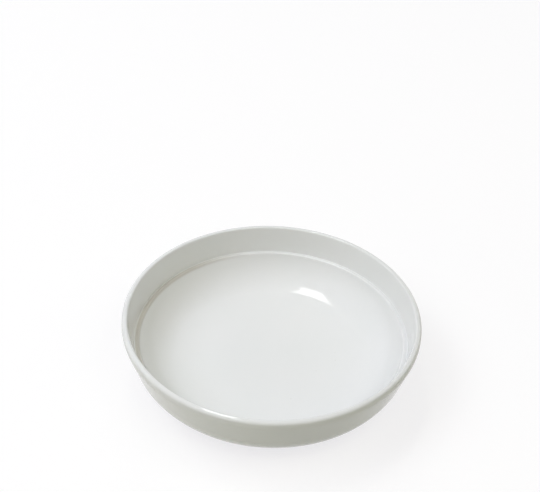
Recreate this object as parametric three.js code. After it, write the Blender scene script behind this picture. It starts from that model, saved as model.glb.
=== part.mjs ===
// Shallow round bowl: a thick fired porcelain body inside a glassy white glaze.
// Millimetres, +Z up. The origin is on the table, at the centre of the foot ring.
import * as THREE from 'three';

const degrees = THREE.MathUtils.degToRad;

// Overall size
const rimRadius = 100;
const bowlHeight = 46.6;
const wall = 5.6;

// Lip: its top slopes a little outwards, on a soft shoulder, the widest place of the bowl
const lipThickness = 4;
const lipOuterRound = 2;
const lipFlat = 0.7;
const lipFall = 0.16;
const lipInset = 0.1;
const shoulderDrop = 4;
const shoulderRound = 5.3;

// Heel: the outside leans in below the shoulder, then turns under, just above the foot's fillet
const wallLean = degrees(17.4);
const heelRound = 26.3;
const heelRise = 0.4;

// Basin: a dished floor and a round heel, which ends in the nose of the stacking ledge
const floorRadius = 45;
const dishDepth = 1.1;
const basinRound = 28;
const basinSlope = degrees(68);
const noseInset = 10;
const noseRound = 1.1;
const ledgeReach = 2;
const ledgeDip = 0.5;
const ledgeCornerRound = 0.5;

// Foot ring, with the recess that it goes round
const footRadius = 61.7;
const footWidth = 4.7;
const footFillet = 2.5;
const footCorner = 0.8;
const recessFillet = 1.5;

// Glaze: how thick it is, where it stops above the table, and the bond line under it
const glazeThickness = 0.35;
const glazeEdge = 1.6;
const bondLine = 0.05;
const coat = glazeThickness + bondLine;

// Facets round the bowl, and how far an arc's chord may lie from its arc
const facets = 60;
const chordSag = 0.08;

const up = degrees(90);
const outward = degrees(0);
const down = degrees(-90);
const inward = degrees(-180);

// The bowl's outline runs like a belt over circles, in a half plane of radius and height.
// A circle's round is positive where the outline is convex, and negative in a hollow.
const circle = (radius, height, round) => ({ radius, height, round });

// Shoulder and lip
const shoulder = circle(rimRadius - shoulderRound, bowlHeight - shoulderDrop, shoulderRound);
const lipInnerRound = lipThickness - lipOuterRound - lipFlat;
const lipRadius = rimRadius - lipInset - lipOuterRound;
const lipOuter = circle(lipRadius, bowlHeight - lipFall - lipOuterRound, lipOuterRound);
const lipInner = circle(lipRadius - lipFlat, bowlHeight - lipInnerRound, lipInnerRound);

// The outer heel's centre, which the leaning wall's tangent places
const heelLift = glazeEdge + footFillet + heelRise;
const heelHeight = heelLift + heelRound;
const heelFall = shoulder.height - heelHeight;
const heelShift = (heelRound - shoulderRound + heelFall * Math.sin(wallLean)) / Math.cos(wallLean);
const outerHeel = circle(shoulder.radius - heelShift, heelHeight, heelRound);

// The ledge's nose rounds off the end of the basin's heel, and its corner lies lower, behind it
const basinHeight = heelLift + wall + basinRound;
const noseReach = basinRound + noseRound;
const noseFall = noseReach * Math.cos(basinSlope);
const nose = circle(rimRadius - noseInset, basinHeight - noseFall, noseRound);
const basinHeel = circle(nose.radius - noseReach * Math.sin(basinSlope), basinHeight, -basinRound);
const cornerHeight = nose.height + noseRound - ledgeDip + ledgeCornerRound;
const ledgeCorner = circle(nose.radius + ledgeReach, cornerHeight, -ledgeCornerRound);

// The dished floor is the one arc that touches both the flat floor and the basin's heel
const floorHeight = heelLift + wall - dishDepth;
const dishWidth = basinHeel.radius - floorRadius;
const dishRise = basinRound + dishDepth;
const dishRound = (dishWidth ** 2 + dishRise ** 2 - basinRound ** 2) / dishDepth / 2;
const floorCentre = circle(0, floorHeight, 0);
const dish = circle(floorRadius, floorHeight + dishRound, -dishRound);

// Foot ring: the body's corners lie inside the coat, so its bare face still meets the table
const footInnerRadius = footRadius - footWidth;
const recessHeight = floorHeight - wall;
const footOuterFillet = circle(footRadius + footFillet, glazeEdge, -footFillet);
const footOuterCorner = circle(footRadius - coat - footCorner, footCorner, footCorner + coat);
const footInnerCorner = circle(footInnerRadius + coat + footCorner, footCorner, footCorner + coat);
const recessCorner = circle(footInnerRadius - recessFillet, recessHeight - recessFillet, -recessFillet);
const recessCentre = circle(0, recessHeight, 0);

const glazedCircles = [
  floorCentre, dish, basinHeel, nose, ledgeCorner, lipInner, lipOuter, shoulder, outerHeel, footOuterFillet,
];
const recessCircles = [recessCorner, recessCentre];
const bodyCircles = [...glazedCircles, footOuterCorner, footInnerCorner, ...recessCircles];

// Direction of the outline's outward normal where the belt runs straight from one circle to the next
function normalBetween(from, to) {
  const across = to.radius - from.radius;
  const along = to.height - from.height;
  const turn = (from.round - to.round) / Math.hypot(across, along);
  return Math.atan2(along, across) + Math.acos(THREE.MathUtils.clamp(turn, -1, 1));
}

// Signed turn from one direction to another, the short way round
function shortTurn(from, to) {
  return Math.atan2(Math.sin(to - from), Math.cos(to - from));
}

// Directions of the normals at an arc's points. The widest place keeps a point of its own.
function arcNormals(start, turn, round) {
  const end = start + turn;
  const stops = start * end < outward ? [start, outward, end] : [start, end];
  const stride = 2 * Math.acos(1 - chordSag / Math.max(Math.abs(round), chordSag));
  const normals = [start];
  for (let stop = 1; stop < stops.length; stop += 1) {
    const sweep = stops[stop] - stops[stop - 1];
    const steps = Math.max(Math.ceil(Math.abs(sweep) / stride), 1);
    for (let step = 1; step <= steps; step += 1) {
      normals.push(stops[stop - 1] + (sweep * step) / steps);
    }
  }
  return normals;
}

// Points of the belt over the circles, laid at a depth below the glazed surface
function outline(circles, startNormal, endNormal, depth) {
  let normal = startNormal;
  return circles.flatMap((current, index) => {
    const next = circles[index + 1];
    const turn = shortTurn(normal, next ? normalBetween(current, next) : endNormal);
    const reach = current.round - depth;
    const points = arcNormals(normal, turn, current.round).map((angle) => new THREE.Vector2(
      Math.max(current.radius + reach * Math.cos(angle), 0),
      current.height + reach * Math.sin(angle),
    ));
    normal += turn;
    return points;
  });
}

// A solid of revolution about Z from an outline, with points that repeat left out
function revolve(name, points, material) {
  const profile = points.filter((point, index) => {
    return index === 0 || point.distanceTo(points[index - 1]) > bondLine / 2;
  });
  const mesh = new THREE.Mesh(new THREE.LatheGeometry(profile.reverse(), facets), material);
  mesh.name = name;
  mesh.rotation.x = up;
  return mesh;
}

const barePorcelain = new THREE.MeshStandardMaterial({ color: 0xe8e3d8, roughness: 0.75, metalness: 0 });
const whiteGlaze = new THREE.MeshStandardMaterial({ color: 0xeeefec, roughness: 0.08, metalness: 0 });

// Fired body: the whole bowl under its glaze, bare only on the foot ring's standing face
function porcelainBody() {
  return revolve('porcelain_body', outline(bodyCircles, up, down, coat), barePorcelain);
}

// Glaze over the basin, the lip and the outside, down to the foot ring
function glazeCoat() {
  const surface = outline(glazedCircles, up, outward, 0);
  const underside = outline(glazedCircles, up, outward, glazeThickness).reverse();
  return revolve('glaze_coat', [...surface, ...underside], whiteGlaze);
}

// Glaze inside the foot ring, which the bare standing face parts from the rest
function baseGlaze() {
  const surface = outline(recessCircles, inward, down, 0);
  const underside = outline(recessCircles, inward, down, glazeThickness).reverse();
  return revolve('base_glaze', [...underside, ...surface], whiteGlaze);
}

const bowl = new THREE.Group();
bowl.add(porcelainBody(), glazeCoat(), baseGlaze());

export default bowl;
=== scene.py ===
# Looks of the shallow glazed bowl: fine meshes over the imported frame, their finish, light and camera.
# Metres and radians, +Z up, in the same frame as the model. The lights' angles are in degrees.
import math

import bpy
from mathutils import Matrix, Quaternion, Vector


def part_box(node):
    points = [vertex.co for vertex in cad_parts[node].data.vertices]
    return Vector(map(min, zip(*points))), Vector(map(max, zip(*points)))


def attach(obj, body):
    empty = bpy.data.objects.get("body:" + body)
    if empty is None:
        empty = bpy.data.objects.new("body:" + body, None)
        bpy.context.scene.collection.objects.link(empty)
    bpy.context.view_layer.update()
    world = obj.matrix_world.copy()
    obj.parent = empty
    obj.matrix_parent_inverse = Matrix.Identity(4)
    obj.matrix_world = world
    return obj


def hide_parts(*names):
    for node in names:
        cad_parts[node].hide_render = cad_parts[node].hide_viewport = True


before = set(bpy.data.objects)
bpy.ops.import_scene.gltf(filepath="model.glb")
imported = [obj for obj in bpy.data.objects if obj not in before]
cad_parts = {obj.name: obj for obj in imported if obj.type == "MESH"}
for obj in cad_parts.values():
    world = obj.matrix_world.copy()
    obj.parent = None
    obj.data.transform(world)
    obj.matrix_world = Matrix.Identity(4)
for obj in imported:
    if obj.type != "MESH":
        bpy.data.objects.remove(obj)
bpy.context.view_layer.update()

MM = 0.001

# Overall size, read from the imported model
GLAZE_LOW, GLAZE_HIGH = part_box("glaze_coat")
RIM_RADIUS = (GLAZE_HIGH[0] - GLAZE_LOW[0]) / 2
BOWL_HEIGHT = GLAZE_HIGH[2]
GLAZE_EDGE = GLAZE_LOW[2]
WALL = 5.6 * MM

# Lip, with the soft shoulder under it
LIP_THICKNESS = 4.0 * MM
LIP_OUTER_ROUND = 2.0 * MM
LIP_FLAT = 0.7 * MM
LIP_FALL = 0.16 * MM
LIP_INSET = 0.1 * MM
SHOULDER_DROP = 4.0 * MM
SHOULDER_ROUND = 5.3 * MM

# Heel and basin
WALL_LEAN = math.radians(17.4)
HEEL_ROUND = 26.3 * MM
HEEL_RISE = 0.4 * MM
FLOOR_RADIUS = 45.0 * MM
DISH_DEPTH = 1.1 * MM
BASIN_ROUND = 28.0 * MM
BASIN_SLOPE = math.radians(68)
NOSE_RADIUS = 90.0 * MM
NOSE_ROUND = 1.1 * MM
LEDGE_REACH = 2.0 * MM
LEDGE_DIP = 0.5 * MM
LEDGE_CORNER_ROUND = 0.5 * MM

# Foot ring
FOOT_RADIUS = 61.7 * MM
FOOT_WIDTH = 4.7 * MM
FOOT_FILLET = 2.5 * MM
FOOT_CORNER = 0.8 * MM
RECESS_FILLET = 1.5 * MM

# Glaze
GLAZE_THICKNESS = 0.35 * MM
BOND_LINE = 0.05 * MM
COAT = GLAZE_THICKNESS + BOND_LINE

# Finish of the glaze. Scales are in cells to the metre.
GLAZE_COLORS = (0.83, 0.84, 0.828), (0.847, 0.85, 0.84)
CLOUD_SCALE, GLOSS_SCALE, PEEL_SCALE, WAVE_SCALE, SPECK_SCALE = 22.0, 60.0, 260.0, 35.0, 90.0
GLAZE_ROUGHNESS = 0.045, 0.075
GLAZE_IOR = 1.5
PEEL_HEIGHT, WAVE_HEIGHT, RELIEF_STRENGTH = 0.02 * MM, 0.15 * MM, 0.5
SPECK_CORE, SPECK_EDGE = 0.012, 0.03
SPECK_COLOR = (0.66, 0.64, 0.58)

# Painted shade: a faint warm dark line in the ledge's corner, on the side of the bowl that the rim shades
# from the left light; its azimuth in degrees, its radii, and how it fades in
SHADE_LINE_AZIMUTH = 162
SHADE_LINE_START, SHADE_LINE_END, SHADE_LINE_BLUR = 89.0 * MM, 91.2 * MM, 0.7 * MM
SHADE_LINE_HEIGHTS = 24.0 * MM, 26.0 * MM
SHADE_LINE_SIDES = 0.5, 0.85
SHADE_LINE_COLOR = (0.65, 0.63, 0.58)

# Finish of the bare porcelain
GRAIN_COLORS = (0.70, 0.67, 0.60), (0.78, 0.75, 0.68)
GRAIN_SCALE, RUBBING_SCALE = 2600.0, 140.0
RUBBING_RANGE = 0.5, 0.72
RUBBING_COLOR = (0.55, 0.53, 0.49)
PORCELAIN_ROUGHNESS = 0.62, 0.85
GRAIN_HEIGHT, GRAIN_STRENGTH = 0.05 * MM, 0.7

# Range of a noise texture that the finishes use
NOISE_LOW, NOISE_HIGH = 0.3, 0.7

# Fineness of the meshes
SEGMENTS = 288
CHORD_SAG = 0.004 * MM
LONGEST_STEP = 2.5 * MM
SHORTEST_STEP = 0.005 * MM
ON_AXIS = 0.001 * MM
EDGE_STEPS, EDGE_REACH = 8, 0.6

UP, OUTWARD, DOWN, INWARD = (math.radians(a) for a in (90, 0, -90, -180))

# Soft panels round the bowl, as (name, azimuth, elevation, watts, colour), angles in degrees
PANEL_SIZE, PANEL_DISTANCE = 1.1, 2.5
PANELS = (
    ("left_near_47", 202, 47, 10.8, (0.980, 0.975, 1.132)),
    ("left_back_47", 157, 47, 8.9, (0.931, 1.005, 0.973)),
    ("left_60", 180, 60, 7.8, (0.950, 0.975, 1.202)),
    ("left_near_12", 202, 12, 6.7, (1.049, 0.995, 0.705)),
    ("front_right_60", 315, 60, 6.5, (1.000, 0.995, 0.854)),
    ("back_35", 90, 35, 6.0, (0.960, 0.995, 1.003)),
    ("right_60", 0, 60, 5.4, (0.970, 0.995, 0.953)),
    ("right_35", 0, 35, 5.1, (1.049, 0.985, 0.814)),
    ("front_60", 270, 60, 4.9, (1.010, 0.995, 0.874)),
    ("left_back_60", 157, 60, 4.2, (0.960, 0.985, 1.102)),
    ("front_left_47", 225, 47, 3.4, (0.990, 0.985, 0.973)),
    ("front_right_35", 315, 35, 2.8, (1.020, 1.005, 0.735)),
    ("front_near_12", 248, 12, 1.8, (1.000, 1.005, 0.735)),
)

# Long lamp that the glaze mirrors, angles in degrees
LAMP_AZIMUTH, LAMP_ELEVATION, LAMP_DISTANCE = 110.0, 66.1, 2.57
LAMP_WIDTH, LAMP_LENGTH, LAMP_WATTS = 0.296, 1.34, 8.6
LAMP_SPIN, LAMP_TILT = -38.9, -41.9

# Floor, and the glow that takes a share of its paint's place where the floor itself is seen
FLOOR_HALF, FLOOR_HEIGHT = 3.0, -0.05 * MM
FLOOR_PAINT = (0.58, 0.585, 0.52)
GLOW_COLOR, GLOW_STRENGTH, GLOW_SHARE = (0.97, 0.96, 1.0), 1.53, 0.5

# Photograph's width and focal length in pixels, and the camera that was fitted to it
PHOTO_WIDTH = 540
PHOTO_FOCAL = 1196.7
CAMERA_DISTANCE = 0.8
CAMERA_ELEVATION = math.radians(41.2)
CAMERA_YAW, CAMERA_PITCH, CAMERA_ROLL = (math.radians(a) for a in (-0.236, 3.271, 2.43))


def bowl_circles():
    """Circles that the outline runs over, as (radius, height, round), round negative in a hollow."""
    shoulder = (RIM_RADIUS - SHOULDER_ROUND, BOWL_HEIGHT - SHOULDER_DROP, SHOULDER_ROUND)
    lip_inner_round = LIP_THICKNESS - LIP_OUTER_ROUND - LIP_FLAT
    lip_radius = RIM_RADIUS - LIP_INSET - LIP_OUTER_ROUND
    lip_outer = (lip_radius, BOWL_HEIGHT - LIP_FALL - LIP_OUTER_ROUND, LIP_OUTER_ROUND)
    lip_inner = (lip_radius - LIP_FLAT, BOWL_HEIGHT - lip_inner_round, lip_inner_round)
    heel_lift = GLAZE_EDGE + FOOT_FILLET + HEEL_RISE
    heel_height = heel_lift + HEEL_ROUND
    heel_fall = shoulder[1] - heel_height
    heel_shift = (HEEL_ROUND - SHOULDER_ROUND + heel_fall * math.sin(WALL_LEAN)) / math.cos(WALL_LEAN)
    heel_radius = shoulder[0] - heel_shift
    reach = BASIN_ROUND + NOSE_ROUND
    basin_height = heel_lift + WALL + BASIN_ROUND
    basin_heel = (NOSE_RADIUS - reach * math.sin(BASIN_SLOPE), basin_height, -BASIN_ROUND)
    nose = (NOSE_RADIUS, basin_height - reach * math.cos(BASIN_SLOPE), NOSE_ROUND)
    floor_height = heel_lift + WALL - DISH_DEPTH
    dish_width = basin_heel[0] - FLOOR_RADIUS
    dish_rise = BASIN_ROUND + DISH_DEPTH
    dish_round = (dish_width ** 2 + dish_rise ** 2 - BASIN_ROUND ** 2) / DISH_DEPTH / 2
    corner_height = nose[1] + NOSE_ROUND + LEDGE_CORNER_ROUND - LEDGE_DIP
    foot_inner = FOOT_RADIUS - FOOT_WIDTH
    recess_height = floor_height - WALL
    glazed = [
        (0, floor_height, 0),
        (FLOOR_RADIUS, floor_height + dish_round, -dish_round),
        basin_heel,
        nose,
        (nose[0] + LEDGE_REACH, corner_height, -LEDGE_CORNER_ROUND),
        lip_inner,
        lip_outer,
        shoulder,
        (heel_radius, heel_height, HEEL_ROUND),
        (FOOT_RADIUS + FOOT_FILLET, GLAZE_EDGE, -FOOT_FILLET),
    ]
    foot = [
        (FOOT_RADIUS - COAT - FOOT_CORNER, FOOT_CORNER, FOOT_CORNER + COAT),
        (foot_inner + COAT + FOOT_CORNER, FOOT_CORNER, FOOT_CORNER + COAT),
    ]
    recess = [
        (foot_inner - RECESS_FILLET, recess_height - RECESS_FILLET, -RECESS_FILLET),
        (0, recess_height, 0),
    ]
    return glazed, foot, recess


def normal_between(start, end):
    """Direction of the outward normal where the outline runs straight between two circles."""
    across, along = end[0] - start[0], end[1] - start[1]
    turn = (start[2] - end[2]) / math.hypot(across, along)
    return math.atan2(along, across) + math.acos(max(-1.0, min(1.0, turn)))


def short_turn(start, end):
    """Signed turn from one direction to another, the short way round."""
    return math.atan2(math.sin(end - start), math.cos(end - start))


def arc_normals(start, turn, size):
    """Directions of the normals at an arc's points, with one at the widest place."""
    end = start + turn
    stops = [start, OUTWARD, end] if start * end < 0 else [start, end]
    stride = 2 * math.acos(1 - CHORD_SAG / max(abs(size), CHORD_SAG))
    normals = [start]
    for low, high in zip(stops, stops[1:]):
        steps = max(math.ceil(abs(high - low) / stride), 1)
        normals += [low + (high - low) * step / steps for step in range(1, steps + 1)]
    return normals


def outline(circles, start_normal, end_normal, depth):
    """Points (radius, height) of the outline, at a depth below the surface."""
    points = []
    normal = start_normal
    for index, (radius, height, size) in enumerate(circles):
        is_last = index + 1 == len(circles)
        target = end_normal if is_last else normal_between(circles[index], circles[index + 1])
        turn = short_turn(normal, target)
        reach = size - depth
        for angle in arc_normals(normal, turn, size):
            points.append((max(radius + reach * math.cos(angle), 0.0), height + reach * math.sin(angle)))
        normal += turn
    return points


def spaced(points):
    """The same outline without repeated points, and with long straight runs divided."""
    result = [points[0]]
    for point in points[1:]:
        gap = math.dist(point, result[-1])
        if gap < SHORTEST_STEP:
            continue
        pieces = math.ceil(gap / LONGEST_STEP)
        before = result[-1]
        for piece in range(1, pieces + 1):
            share = piece / pieces
            result.append(tuple(a + (b - a) * share for a, b in zip(before, point)))
    return result


def rolled_edge(outer, inner):
    """Half round between the ends of a glaze skin's two sides, as glaze draws in where it stops."""
    middle = Vector(outer).lerp(Vector(inner), 0.5)
    arm = Vector(outer) - middle
    side = Vector((-arm.y, arm.x))
    if side.y > 0:
        side.negate()
    angles = [math.pi * step / EDGE_STEPS for step in range(1, EDGE_STEPS)]
    return [tuple(middle + arm * math.cos(angle) + side * math.sin(angle) * EDGE_REACH) for angle in angles]


def revolve(name, profile):
    """A closed smooth solid of revolution about Z; the profile starts and ends on the axis."""
    verts, faces, rings = [], [], []
    for radius, height in profile:
        if radius < ON_AXIS:
            rings.append([len(verts)])
            verts.append((0.0, 0.0, height))
            continue
        rings.append(range(len(verts), len(verts) + SEGMENTS))
        for segment in range(SEGMENTS):
            angle = 2 * math.pi * segment / SEGMENTS
            verts.append((radius * math.cos(angle), radius * math.sin(angle), height))
    for low, high in zip(rings, rings[1:]):
        for segment in range(SEGMENTS):
            after = (segment + 1) % SEGMENTS
            if len(low) == 1 and len(high) > 1:
                faces.append((low[0], high[segment], high[after]))
            elif len(high) == 1 and len(low) > 1:
                faces.append((low[after], low[segment], high[0]))
            elif len(low) > 1:
                faces.append((low[after], low[segment], high[segment], high[after]))
    mesh = bpy.data.meshes.new(name)
    mesh.from_pydata(verts, [], faces)
    mesh.validate()
    mesh.polygons.foreach_set("use_smooth", [True] * len(mesh.polygons))
    piece = bpy.data.objects.new(name, mesh)
    bpy.context.scene.collection.objects.link(piece)
    return piece


def dress(piece, node, material):
    """Lets a piece stand for a node, in the record's slot, with its own finish."""
    piece.data.materials.append(material)
    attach(piece, "root")
    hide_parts(node)


def new_material(name):
    """An empty node material, with its tree, a Principled shader and object coordinates."""
    material = bpy.data.materials.new(name)
    material.use_nodes = True
    tree = material.node_tree
    shader = tree.nodes["Principled BSDF"]
    coordinates = tree.nodes.new("ShaderNodeTexCoord").outputs["Object"]
    return material, tree, shader, coordinates


def noise(tree, coordinates, scale, detail=2.0, roughness=0.5):
    """Factor output of a noise texture, its scale in cells to the metre."""
    node = tree.nodes.new("ShaderNodeTexNoise")
    node.inputs["Scale"].default_value = scale
    node.inputs["Detail"].default_value = detail
    node.inputs["Roughness"].default_value = roughness
    tree.links.new(coordinates, node.inputs["Vector"])
    return node.outputs["Fac"]


def remap(tree, value, low, high, to_low, to_high):
    """The value moved from one range to another, held at the ends."""
    node = tree.nodes.new("ShaderNodeMapRange")
    for name, number in zip(("From Min", "From Max", "To Min", "To Max"), (low, high, to_low, to_high)):
        node.inputs[name].default_value = number
    tree.links.new(value, node.inputs["Value"])
    return node.outputs["Result"]


def mix_colors(tree, factor, first, second):
    """A blend of two colours, each a constant or a socket."""
    node = tree.nodes.new("ShaderNodeMix")
    node.data_type = "RGBA"
    tree.links.new(factor, node.inputs["Factor"])
    for socket, color in zip((node.inputs[6], node.inputs[7]), (first, second)):
        if isinstance(color, tuple):
            socket.default_value = (*color, 1.0)
        else:
            tree.links.new(color, socket)
    return node.outputs[2]


def bump(tree, height, distance, strength, before=None):
    """A bump of a real height, laid on an earlier one."""
    node = tree.nodes.new("ShaderNodeBump")
    node.inputs["Distance"].default_value = distance
    node.inputs["Strength"].default_value = strength
    tree.links.new(height, node.inputs["Height"])
    if before is not None:
        tree.links.new(before, node.inputs["Normal"])
    return node.outputs["Normal"]


def vector_math(tree, operation, *inputs):
    """Output of a vector math node over sockets and constant vectors."""
    node = tree.nodes.new("ShaderNodeVectorMath")
    node.operation = operation
    for socket, value in zip(node.inputs, inputs):
        if isinstance(value, tuple):
            socket.default_value = value
        else:
            tree.links.new(value, socket)
    return node.outputs["Value"] if operation in ("LENGTH", "DOT_PRODUCT") else node.outputs["Vector"]


def product(tree, first, second):
    """Product of two factors."""
    node = tree.nodes.new("ShaderNodeMath")
    node.operation = "MULTIPLY"
    tree.links.new(first, node.inputs[0])
    tree.links.new(second, node.inputs[1])
    return node.outputs[0]


def ledge_shade_line(tree, coordinates):
    """Factor of the painted shade line in the ledge's corner, strongest on the side of the bowl where the
    rim shades it.
    """
    flat = vector_math(tree, "MULTIPLY", coordinates, (1.0, 1.0, 0.0))
    radius = vector_math(tree, "LENGTH", flat)
    way = vector_math(tree, "NORMALIZE", flat)
    turn = math.radians(SHADE_LINE_AZIMUTH)
    side = vector_math(tree, "DOT_PRODUCT", way, (math.cos(turn), math.sin(turn), 0.0))
    height = vector_math(tree, "DOT_PRODUCT", coordinates, (0.0, 0.0, 1.0))
    inner_edge = remap(tree, radius, SHADE_LINE_START - SHADE_LINE_BLUR, SHADE_LINE_START, 0.0, 1.0)
    outer_edge = remap(tree, radius, SHADE_LINE_END, SHADE_LINE_END + SHADE_LINE_BLUR, 1.0, 0.0)
    inside = remap(tree, height, *SHADE_LINE_HEIGHTS, 0.0, 1.0)
    fading = remap(tree, side, *SHADE_LINE_SIDES, 0.0, 1.0)
    return product(tree, product(tree, inner_edge, outer_edge), product(tree, inside, fading))


def glaze_material():
    """White gloss glaze: faint clouds of tone, orange peel, a few pin specks and a painted shade line in
    the ledge's corner.
    """
    material, tree, shader, coordinates = new_material("white_gloss_glaze")
    clouds = remap(tree, noise(tree, coordinates, CLOUD_SCALE, detail=3.0), NOISE_LOW, NOISE_HIGH, 0.0, 1.0)
    color = mix_colors(tree, clouds, *GLAZE_COLORS)
    specks = tree.nodes.new("ShaderNodeTexVoronoi")
    specks.inputs["Scale"].default_value = SPECK_SCALE
    tree.links.new(coordinates, specks.inputs["Vector"])
    speck = remap(tree, specks.outputs["Distance"], SPECK_CORE, SPECK_EDGE, 1.0, 0.0)
    color = mix_colors(tree, speck, color, SPECK_COLOR)
    # Painted shade: darkens the glaze in the ledge's corner on the shaded side of the bowl
    color = mix_colors(tree, ledge_shade_line(tree, coordinates), color, SHADE_LINE_COLOR)
    tree.links.new(color, shader.inputs["Base Color"])
    gloss = noise(tree, coordinates, GLOSS_SCALE, detail=4.0)
    tree.links.new(remap(tree, gloss, NOISE_LOW, NOISE_HIGH, *GLAZE_ROUGHNESS), shader.inputs["Roughness"])
    shader.inputs["IOR"].default_value = GLAZE_IOR
    peel = bump(tree, noise(tree, coordinates, PEEL_SCALE), PEEL_HEIGHT, RELIEF_STRENGTH)
    wave = noise(tree, coordinates, WAVE_SCALE, detail=1.0)
    waves = bump(tree, wave, WAVE_HEIGHT, RELIEF_STRENGTH, before=peel)
    tree.links.new(waves, shader.inputs["Normal"])
    return material


def porcelain_material():
    """Bare fired porcelain: matt, slightly warm, with a fine grain and grey rubbing."""
    material, tree, shader, coordinates = new_material("bare_porcelain")
    grain = noise(tree, coordinates, GRAIN_SCALE, detail=4.0, roughness=0.7)
    patches = noise(tree, coordinates, RUBBING_SCALE, detail=5.0, roughness=0.65)
    rubbing = remap(tree, patches, *RUBBING_RANGE, 0.0, 1.0)
    color = mix_colors(tree, grain, *GRAIN_COLORS)
    color = mix_colors(tree, rubbing, color, RUBBING_COLOR)
    tree.links.new(color, shader.inputs["Base Color"])
    roughness = remap(tree, grain, NOISE_LOW, NOISE_HIGH, *PORCELAIN_ROUGHNESS)
    tree.links.new(roughness, shader.inputs["Roughness"])
    tree.links.new(bump(tree, grain, GRAIN_HEIGHT, GRAIN_STRENGTH), shader.inputs["Normal"])
    return material


def make_bowl():
    """The three layers of the fired bowl, each a closed fine mesh over its own solid."""
    glazed, foot, recess = bowl_circles()
    glaze, porcelain = glaze_material(), porcelain_material()

    body = spaced(outline(glazed + foot + recess, UP, DOWN, COAT))
    dress(revolve("fired_body", body), "porcelain_body", porcelain)

    outer = outline(glazed, UP, OUTWARD, 0)
    inner = outline(glazed, UP, OUTWARD, GLAZE_THICKNESS)[::-1]
    shell = spaced(outer) + rolled_edge(outer[-1], inner[0]) + spaced(inner)
    dress(revolve("glaze_shell", shell), "glaze_coat", glaze)

    outer = outline(recess, INWARD, DOWN, 0)
    inner = outline(recess, INWARD, DOWN, GLAZE_THICKNESS)[::-1]
    pool = spaced(inner) + rolled_edge(inner[-1], outer[0]) + spaced(outer)
    dress(revolve("recess_glaze", pool), "base_glaze", glaze)


def shown_rays(tree):
    """1 for rays that show the backdrop itself: camera, glossy and transmission rays."""
    path = tree.nodes.new("ShaderNodeLightPath")
    total = path.outputs["Is Camera Ray"]
    for name in ("Is Glossy Ray", "Is Transmission Ray"):
        node = tree.nodes.new("ShaderNodeMath")
        node.operation = "MAXIMUM"
        tree.links.new(total, node.inputs[0])
        tree.links.new(path.outputs[name], node.inputs[1])
        total = node.outputs[0]
    return total


def make_floor():
    """A pale floor that shows white, with a soft shadow, and bounces light as a pale table does."""
    mesh = bpy.data.meshes.new("studio_floor")
    signs = (-1, -1), (1, -1), (1, 1), (-1, 1)
    corners = [(FLOOR_HALF * x, FLOOR_HALF * y, FLOOR_HEIGHT) for x, y in signs]
    mesh.from_pydata(corners, [], [(0, 1, 2, 3)])
    floor = bpy.data.objects.new("studio_floor", mesh)
    bpy.context.scene.collection.objects.link(floor)
    material = bpy.data.materials.new("studio_floor")
    material.use_nodes = True
    tree = material.node_tree
    tree.nodes.remove(tree.nodes["Principled BSDF"])
    paint = tree.nodes.new("ShaderNodeBsdfDiffuse")
    paint.inputs["Color"].default_value = (*FLOOR_PAINT, 1.0)
    glow = tree.nodes.new("ShaderNodeEmission")
    glow.inputs["Color"].default_value = (*GLOW_COLOR, 1.0)
    glow.inputs["Strength"].default_value = GLOW_STRENGTH
    shown = tree.nodes.new("ShaderNodeMath")
    shown.operation = "MULTIPLY"
    shown.inputs[1].default_value = GLOW_SHARE
    tree.links.new(shown_rays(tree), shown.inputs[0])
    mix = tree.nodes.new("ShaderNodeMixShader")
    tree.links.new(shown.outputs[0], mix.inputs[0])
    tree.links.new(paint.outputs[0], mix.inputs[1])
    tree.links.new(glow.outputs[0], mix.inputs[2])
    tree.links.new(mix.outputs[0], tree.nodes["Material Output"].inputs["Surface"])
    mesh.materials.append(material)


def make_world():
    """A room that is seen as white and leaves the lighting to the lamps."""
    world = bpy.data.worlds.new("studio")
    bpy.context.scene.world = world
    world.use_nodes = True
    tree = world.node_tree
    background = tree.nodes["Background"]
    background.inputs["Color"].default_value = (1.0, 1.0, 1.0, 1.0)
    tree.links.new(shown_rays(tree), background.inputs["Strength"])


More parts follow.
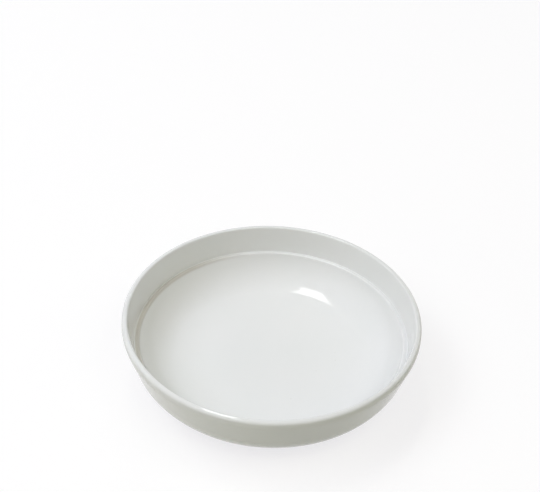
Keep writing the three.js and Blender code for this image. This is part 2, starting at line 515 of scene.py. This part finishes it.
def area_light(name, azimuth, elevation, distance, size, watts, color=(1.0, 1.0, 1.0), spin=0.0, tilt=0.0):
    """A rectangular light aimed at the bowl and then turned; its angles are in degrees."""
    data = bpy.data.lights.new(name, "AREA")
    data.shape = "RECTANGLE"
    data.size, data.size_y = size
    data.energy = watts
    data.color = color
    light = bpy.data.objects.new(name, data)
    bpy.context.scene.collection.objects.link(light)
    turn, lift = math.radians(azimuth), math.radians(elevation)
    way = Vector((math.cos(lift) * math.cos(turn), math.cos(lift) * math.sin(turn), math.sin(lift)))
    target = Vector((0.0, 0.0, BOWL_HEIGHT / 2))
    light.location = target + way * distance
    spun = Quaternion((0.0, 0.0, 1.0), math.radians(spin))
    tilted = Quaternion((1.0, 0.0, 0.0), math.radians(tilt))
    light.rotation_euler = (way.to_track_quat("Z", "Y") @ spun @ tilted).to_euler()
    return light


def make_lights():
    """Soft panels, strongest on the upper left, and one long bright lamp that the glaze mirrors."""
    square = (PANEL_SIZE, PANEL_SIZE)
    for name, azimuth, elevation, watts, color in PANELS:
        panel = area_light(name, azimuth, elevation, PANEL_DISTANCE, square, watts, color)
        panel.visible_glossy = False
    place = (LAMP_AZIMUTH, LAMP_ELEVATION, LAMP_DISTANCE)
    area_light("long_lamp", *place, (LAMP_WIDTH, LAMP_LENGTH), LAMP_WATTS, spin=LAMP_SPIN, tilt=LAMP_TILT)


def make_camera():
    """The photograph's view, from a pinhole camera fitted to the rim, the ledge and the outline."""
    elevation, yaw, pitch, roll = CAMERA_ELEVATION, CAMERA_YAW, CAMERA_PITCH, CAMERA_ROLL
    rim_centre = Vector((0.0, 0.0, BOWL_HEIGHT))
    place = rim_centre + Vector((0.0, -math.cos(elevation), math.sin(elevation))) * CAMERA_DISTANCE
    ahead = (rim_centre - place).normalized()
    right = Vector((1.0, 0.0, 0.0))
    above = right.cross(ahead)
    aim = math.cos(pitch) * (math.cos(yaw) * ahead + math.sin(yaw) * right) + math.sin(pitch) * above
    side = math.cos(yaw) * right - math.sin(yaw) * ahead
    top = side.cross(aim)
    rolled_side = math.cos(roll) * side + math.sin(roll) * top
    rolled_top = math.cos(roll) * top - math.sin(roll) * side
    data = bpy.data.cameras.new("photo_camera")
    data.sensor_fit = "HORIZONTAL"
    data.lens = data.sensor_width * PHOTO_FOCAL / PHOTO_WIDTH
    camera = bpy.data.objects.new("photo_camera", data)
    bpy.context.scene.collection.objects.link(camera)
    turn = Matrix((rolled_side, rolled_top, -aim)).transposed().to_4x4()
    camera.matrix_world = Matrix.Translation(place) @ turn
    bpy.context.scene.camera = camera


make_camera()
make_bowl()
make_floor()
make_world()
make_lights()
bpy.context.scene.view_settings.view_transform = "Standard"
